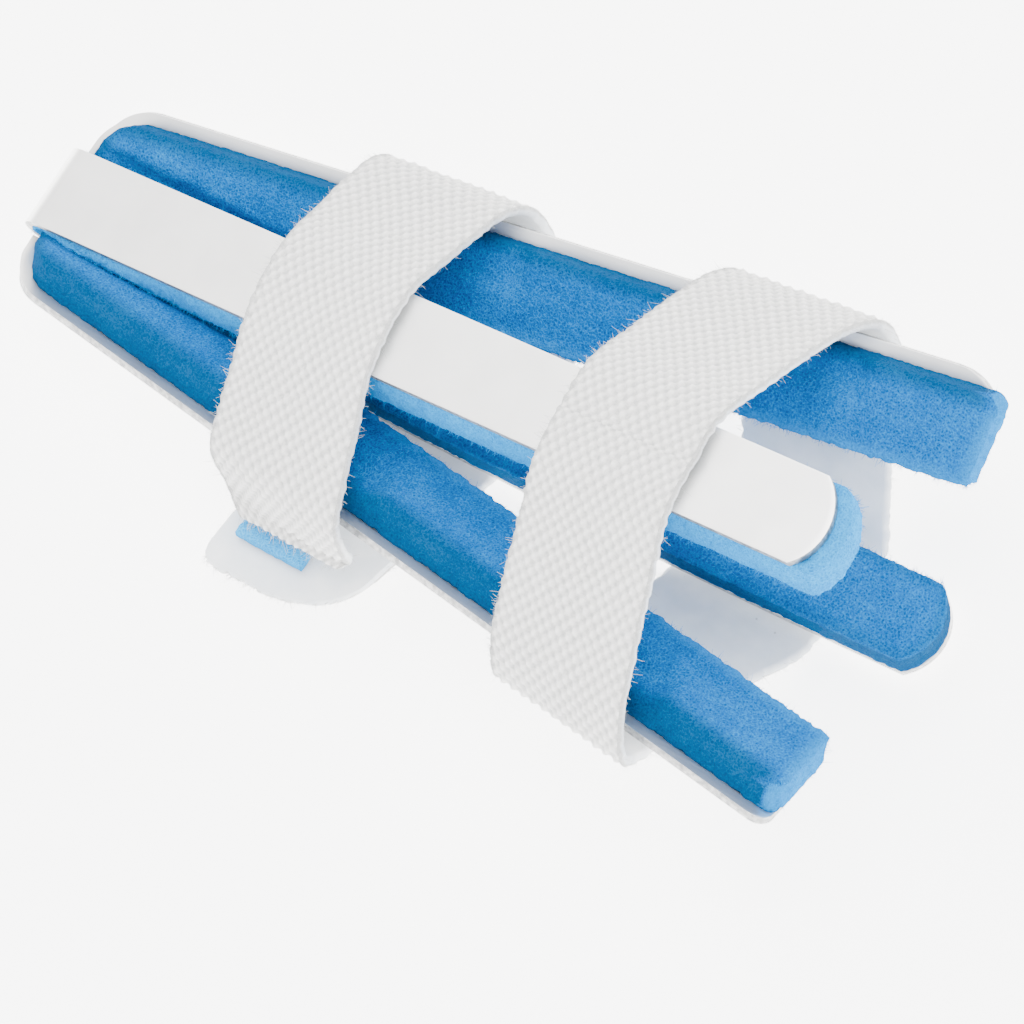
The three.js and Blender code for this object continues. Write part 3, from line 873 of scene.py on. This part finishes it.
def strap_fibres(name, lines, edge_count, end_count, seed):
    """Roots spread along both edges, and along the two cut ends where there are any."""
    line, outward, aside = lines
    chance = np.random.default_rng(seed)
    roots, ways = [], []
    for column, sign in ((0, -1), (-1, 1)):
        row = chance.integers(2, len(line) - 2, edge_count)
        height = chance.uniform(-0.4, 0.5, edge_count)[:, None]
        roots.append(line[row, column] + outward[row, column] * height)
        ways.append(aside[row, column] * sign + outward[row, column] * 0.35)
    for end, beside in ((0, 1), (-1, -2)):
        column = chance.integers(0, line.shape[1], end_count)
        height = chance.uniform(-0.4, 0.4, end_count)[:, None]
        roots.append(line[end, column] + outward[end, column] * height)
        ways.append(unit(line[end, column] - line[beside, column]))
    return fibre_piece(name, np.concatenate(roots), np.concatenate(ways), TAPE_FIBRE, seed)


def foam_fibres(name, walls, spacing, seed):
    """Torn cell walls: short fibres all over the foam's cut faces, most of them near the top edge."""
    chance = np.random.default_rng(seed)
    roots, ways = [], []
    for grid in walls:
        along, up = np.gradient(grid, axis=0), np.gradient(grid, axis=1)
        outward = unit(np.cross(along, up))
        length = np.linalg.norm(np.diff(grid[:, -1], axis=0), axis=1).sum()
        count = int(length / spacing)
        row = chance.integers(0, len(grid), count)
        level = ((1 - chance.random(count) ** 2) * (grid.shape[1] - 1)).round().astype(int)
        roots.append(grid[row, level])
        ways.append(outward[row, level] + 0.5 * unit(up[row, level]))
    return fibre_piece(name, np.concatenate(roots), np.concatenate(ways), FOAM_FIBRE, seed)


front_fibres = strap_fibres("strap_front_fibres", front_lines, 1100, 260, 61)
rear_fibres = strap_fibres("strap_rear_fibres", rear_lines, 1400, 0, 62)
torn_foam = foam_fibres("foam_torn_fibres", torn_walls, 0.07, 63)

# %% Foam piece between the front strap's ends
PATCH = {"length": 8.4, "width": 4.4, "thickness": 1.4, "tilt": -9}
PATCH_PLACE = [42.5, 5.9 - TAB_REACH, 3.05]
along_share, across_share = np.meshgrid(np.linspace(-0.5, 0.5, 40), np.linspace(-0.5, 0.5, 22), indexing="ij")
patch_x = along_share * PATCH["length"]
patch_y = across_share * PATCH["width"]
free = np.minimum(PATCH["length"] / 2 - np.abs(patch_x), PATCH["width"] / 2 - np.abs(patch_y))
top = PATCH["thickness"] / 2 - 0.4 + np.sqrt(np.maximum(0.16 - np.maximum(0.4 - free, 0) ** 2, 0))
upper = np.stack([patch_x, patch_y, top], -1)
lower = np.stack([patch_x, patch_y, np.full_like(top, -PATCH["thickness"] / 2)], -1)
patch_grids = [upper, lower[:, ::-1]]
patch_grids += [wall(border(lower, kind), border(upper, kind), 5) for kind in SIDES]
points, faces, rim = weld(patch_grids, [np.zeros(g.shape[:2]) for g in patch_grids])
points = roughen(points, faces, 0.12, 5)
tilt = math.radians(PATCH["tilt"])
turned = np.stack(
    [points[:, 0], points[:, 1] * math.cos(tilt) - points[:, 2] * math.sin(tilt),
     points[:, 1] * math.sin(tilt) + points[:, 2] * math.cos(tilt)], -1
)
foam_patch = make_object("foam_closure_patch", turned + PATCH_PLACE, faces.tolist(), [("rim", rim)])
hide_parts("foam_patch")

# %% [markdown]
# Finishes come from what each thing really is, and the foam's and the tape's colours also hold
# painted light and shade. Colours are written as the hex values a picture editor would show, and
# one function turns them into the linear light that Blender works in. One more adds a node with its
# settings and links.

# %% Colours and nodes


def colour(hex_value):
    """Turns an sRGB hex value into linear light: a straight foot, then the 2.4 power curve."""
    parts = [int(hex_value[k : k + 2], 16) / 255 for k in (1, 3, 5)]
    return [v / 12.92 if v <= 0.04045 else ((v + 0.055) / 1.055) ** 2.4 for v in parts] + [1]


def feed(tree, made, **inputs):
    """Sets a node's inputs to values, or links them to the sockets given."""
    for key, value in inputs.items():
        numbered = key[0] == "i" and key[1:].isdigit()
        socket = made.inputs[int(key[1:]) if numbered else key.replace("_", " ")]
        if isinstance(value, bpy.types.NodeSocket):
            tree.links.new(value, socket)
        else:
            socket.default_value = value


def node(tree, kind, settings=None, **inputs):
    """Adds a node; settings are its properties, and inputs are what feeds it."""
    made = tree.nodes.new(kind)
    for key, value in (settings or {}).items():
        setattr(made, key, value)
    feed(tree, made, **inputs)
    return made


def new_material(name):
    """A material with an output and a principled shader, its node tree, and the place on the object."""
    material = bpy.data.materials.new(name)
    material.use_nodes = True
    tree = material.node_tree
    tree.nodes.clear()
    output = tree.nodes.new("ShaderNodeOutputMaterial")
    shader = tree.nodes.new("ShaderNodeBsdfPrincipled")
    tree.links.new(shader.outputs["BSDF"], output.inputs["Surface"])
    return material, tree, shader, node(tree, "ShaderNodeTexCoord").outputs["Object"]


def ramp(tree, factor, *stops):
    """A colour ramp with the given (place, hex colour) stops."""
    made = node(tree, "ShaderNodeValToRGB", None, Fac=factor)
    while len(made.color_ramp.elements) < len(stops):
        made.color_ramp.elements.new(0.5)
    for element, (place, value) in zip(made.color_ramp.elements, stops):
        element.position = place
        element.color = colour(value)
    return made.outputs["Color"]


def grain_of(tree, place, scale, detail, **more):
    """The value of a noise texture at place."""
    made = node(tree, "ShaderNodeTexNoise", None, Vector=place, Scale=scale, Detail=detail, **more)
    return made.outputs["Fac"]


def add_bump(tree, shader, height, strength, distance):
    """Tilts the shader's normal by height, as if its full range were distance metres high."""
    bump = node(tree, "ShaderNodeBump", None, Height=height, Strength=strength, Distance=distance)
    feed(tree, shader, Normal=bump.outputs["Normal"])


def blend(tree, factor, first, second):
    """A colour that goes from first to second as factor goes from 0 to 1."""
    return node(tree, "ShaderNodeMix", {"data_type": "RGBA"}, Factor=factor, i6=first, i7=second).outputs[2]


# %% [markdown]
# Soft 1100-series aluminium leaves the mill with a satin skin: bright, with faint rolling lines along
# the sheet and a few fine scratches. The lines are a hundredth of a millimetre on the real sheet, and
# are drawn 0.25 mm apart so that they can show.

# %% Satin mill aluminium
aluminium, tree, shader, place = new_material("satin_mill_aluminium")
stretched = node(tree, "ShaderNodeMapping", None, Vector=place, Scale=(60, 4000, 4000)).outputs["Vector"]
lines = grain_of(tree, stretched, 1.0, 3.0)
clouds = grain_of(tree, place, 160.0, 2.0)
tint = ramp(tree, clouds, (0.35, "#F1F0EE"), (0.65, "#F8F7F5"))
rough = node(tree, "ShaderNodeMapRange", None, Value=lines, To_Min=0.3, To_Max=0.44).outputs["Result"]
feed(tree, shader, Base_Color=tint, Roughness=rough, Metallic=1.0)
add_bump(tree, shader, lines, 0.12, 0.00002)
sheet.data.materials.append(aluminium)

# %% [markdown]
# The sheet was sheared to shape, so its edge is greyer than its face: a rough, slightly torn band as
# thick as the sheet, which draws a fine line round each prong.

# %% Sheared aluminium edge
sheared, tree, shader, place = new_material("sheared_aluminium_edge")
tears = grain_of(tree, place, 1800.0, 3.0)
tint = ramp(tree, tears, (0.35, "#8E8F90"), (0.65, "#C3C3C2"))
feed(tree, shader, Base_Color=tint, Roughness=0.5, Metallic=1.0)
add_bump(tree, shader, tears, 0.4, 0.00004)
sheet.data.materials.append(sheared)

# %% [markdown]
# Polyurethane foam is matt, and scatters a little light in its cell walls. Its cells are about
# 0.4 mm across. They show as dark pores in a lighter net. The colour is deeper at the outer border,
# partly where the foam is pinched and partly painted shade along the sheet's border, and lighter at
# the wings' cut edges, painted light on the cut faces. The strip's cut edges have painted shade
# under the tongue, and the tongue's foam is the same foam in lighter tones, painted light.

# %% Blue open-cell foam


def foam_material(name, dark, middle, light, pinched_and_painted_shade_colour, painted_light_colour):
    """Open-cell foam: a lighter net of cell walls round dark pores, a little cloudiness, darker where
    the attribute rim is 1, partly pinched foam and partly painted shade, and lighter where it is -1,
    painted light."""
    material, tree, shader, place = new_material(name)
    bend = node(tree, "ShaderNodeTexNoise", None, Vector=place, Scale=1500.0, Detail=2.0).outputs["Color"]
    warped = node(tree, "ShaderNodeMix", {"data_type": "VECTOR"}, Factor=0.0004, i4=place, i5=bend)
    to_edge = {"feature": "DISTANCE_TO_EDGE"}
    cells = node(tree, "ShaderNodeTexVoronoi", to_edge, Vector=warped.outputs[1], Scale=3000.0)
    net = node(tree, "ShaderNodeMapRange", None, Value=cells.outputs["Distance"],
               From_Min=0.0, From_Max=0.34, To_Min=1.0, To_Max=0.0)
    fine = grain_of(tree, place, 4200.0, 3.0, Roughness=0.7)
    cloud = grain_of(tree, place, 260.0, 2.0)
    add_up = {"operation": "MULTIPLY_ADD"}
    webbed = node(tree, "ShaderNodeMath", add_up, i0=net.outputs[0], i1=0.26, i2=fine).outputs[0]
    grain = node(tree, "ShaderNodeMath", add_up, i0=cloud, i1=0.3, i2=webbed).outputs[0]
    share = node(tree, "ShaderNodeMapRange", None, Value=grain, From_Min=0.42, From_Max=1.12).outputs[0]
    body = ramp(tree, share, (0.0, dark), (0.5, middle), (1.0, light))
    rim = node(tree, "ShaderNodeAttribute", {"attribute_name": "rim"}).outputs["Fac"]
    clamped = {"operation": "MULTIPLY", "use_clamp": True}
    # Painted shade towards the border tone where rim is positive, painted light towards the cut tone where it
    # is negative.
    for strength, tint in ((0.7, pinched_and_painted_shade_colour), (-0.5, painted_light_colour)):
        amount = node(tree, "ShaderNodeMath", clamped, i0=rim, i1=strength).outputs[0]
        body = blend(tree, amount, body, colour(tint))
    feed(tree, shader, Base_Color=body, Roughness=0.95, Specular_IOR_Level=0.03)
    add_bump(tree, shader, grain, 0.8, 0.0003)
    return material


FOAM_TONES = {
    "blue_polyurethane_foam": ("#00386C", "#00589C", "#0482C4", "#022E4A", "#1490D4"),
    # The tongue's foam and the torn cell walls are the same foam in lighter tones: painted light, where they
    # face the lamps.
    "blue_polyurethane_foam_painted_light": ("#0066AE", "#008CD2", "#18AAEE", "#005C9C", "#38AEEC"),
    "blue_polyurethane_foam_offcut": ("#0078C0", "#1C98DA", "#4CB8F0", "#1086C8", "#4CB8F0"),
}
foam_pieces = ([foam_base], [foam_tongue, torn_foam], [foam_patch])
for (name, tones), pieces in zip(FOAM_TONES.items(), foam_pieces):
    finish = foam_material(name, *tones)
    for piece in pieces:
        piece.data.materials.append(finish)

# %% [markdown]
# Loop tape is knitted polyamide: matt white, soft, and a little see-through at its loops. Between
# the loops it is painted darker, as shade. The back is a smooth coated side, the same white, painted
# bluer and a little darker as shade, with specks.

# %% White loop tape
tape, tree, shader, place = new_material("white_loop_tape")
fibres = grain_of(tree, place, 3200.0, 4.0, Roughness=0.7)
clouds = grain_of(tree, place, 300.0, 2.0)
loops = node(tree, "ShaderNodeAttribute", {"attribute_name": "loops"}).outputs["Fac"]
inner_side = node(tree, "ShaderNodeAttribute", {"attribute_name": "inner_side"}).outputs["Fac"]
height = node(tree, "ShaderNodeMath", {"operation": "MULTIPLY_ADD"}, i0=loops, i1=0.75, i2=fibres).outputs[0]
raised = node(tree, "ShaderNodeMapRange", None, Value=height, From_Min=0.4, From_Max=1.25).outputs[0]
# Darker between the loops: painted shade in the valleys, with the fibres' random tone.
outer_painted_shade_tint = ramp(tree, raised, (0.0, "#AFB0B0"), (0.45, "#D9D8D6"), (1.0, "#F8F7F5"))
# The back's blue-grey is painted shade, as the back faces the splint or the floor; the specks are its own.
coated_back_painted_shade = ramp(tree, clouds, (0.35, "#DDE2E7"), (0.7, "#ECEEF0"))
dots = node(tree, "ShaderNodeTexVoronoi", None, Vector=place, Scale=240.0).outputs["Distance"]
speck = node(tree, "ShaderNodeMapRange", None, Value=dots,
             From_Min=0.02, From_Max=0.04, To_Min=0.4, To_Max=0.0)
inner_tint = blend(tree, speck.outputs[0], coated_back_painted_shade, colour("#6C6A66"))
tint = blend(tree, inner_side, outer_painted_shade_tint, inner_tint)
feed(tree, shader, Base_Color=tint, Roughness=0.9, Specular_IOR_Level=0.25, Sheen_Weight=0.15)
add_bump(tree, shader, fibres, 0.5, 0.00008)
for piece in (front, rear, front_fibres, rear_fibres):
    piece.data.materials.append(tape)

# %% [markdown]
# The photograph was taken on white with light from all round. So the floor is a plain pale sheet
# that glows a little, the surroundings are a bright even white, and three large soft lamps only
# shape the forms a little.

# %% Floor and light
floor_mesh = bpy.data.meshes.new("floor")
FLOOR_REACH = 1.5
FLOOR_GLOW = 4.0
SURROUNDINGS = 2.7
floor_corners = [(FLOOR_REACH * x, FLOOR_REACH * y, 0) for x, y in ((-1, -1), (1, -1), (1, 1), (-1, 1))]
floor_mesh.from_pydata(floor_corners, [], [(0, 1, 2, 3)])
floor = bpy.data.objects.new("floor", floor_mesh)
bpy.context.collection.objects.link(floor)
floor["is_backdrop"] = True
floor_finish, tree, shader, place = new_material("pale_paper")
grain = grain_of(tree, place, 900.0, 2.0)
tint = ramp(tree, grain, (0.3, "#F7F7F6"), (0.7, "#F9F9F8"))
feed(tree, shader, Base_Color=tint, Roughness=0.95, Specular_IOR_Level=0.1)
feed(tree, shader, Emission_Color=(1, 1, 1, 1), Emission_Strength=FLOOR_GLOW)
floor.data.materials.append(floor_finish)

world = bpy.data.worlds.new("studio")
world.use_nodes = True
bpy.context.scene.world = world
feed(world.node_tree, world.node_tree.nodes["Background"], Color=(1, 1, 1, 1), Strength=SURROUNDINGS)

LAMPS = {
    "key": {"place": (-0.25, 0.35, 0.75), "size": 0.6, "power": 7.0},
    "fill": {"place": (0.5, -0.5, 0.6), "size": 0.7, "power": 3.0},
    "top": {"place": (0.0, 0.0, 0.9), "size": 0.8, "power": 5.0},
}
for name, lamp in LAMPS.items():
    light = bpy.data.lights.new(name, "AREA")
    light.energy = lamp["power"]
    light.size = lamp["size"]
    lamp_object = bpy.data.objects.new(name, light)
    bpy.context.collection.objects.link(lamp_object)
    lamp_object.location = lamp["place"]
    lamp_object.rotation_euler = (-Vector(lamp["place"])).to_track_quat("-Z", "Y").to_euler()

# %% Sizes
low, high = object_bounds()
grown = [round(v / MM, 1) for v in (*(cad_low - low), *(high - cad_high))]
print("visual box stands proud of the CAD box by, in mm:", grown)
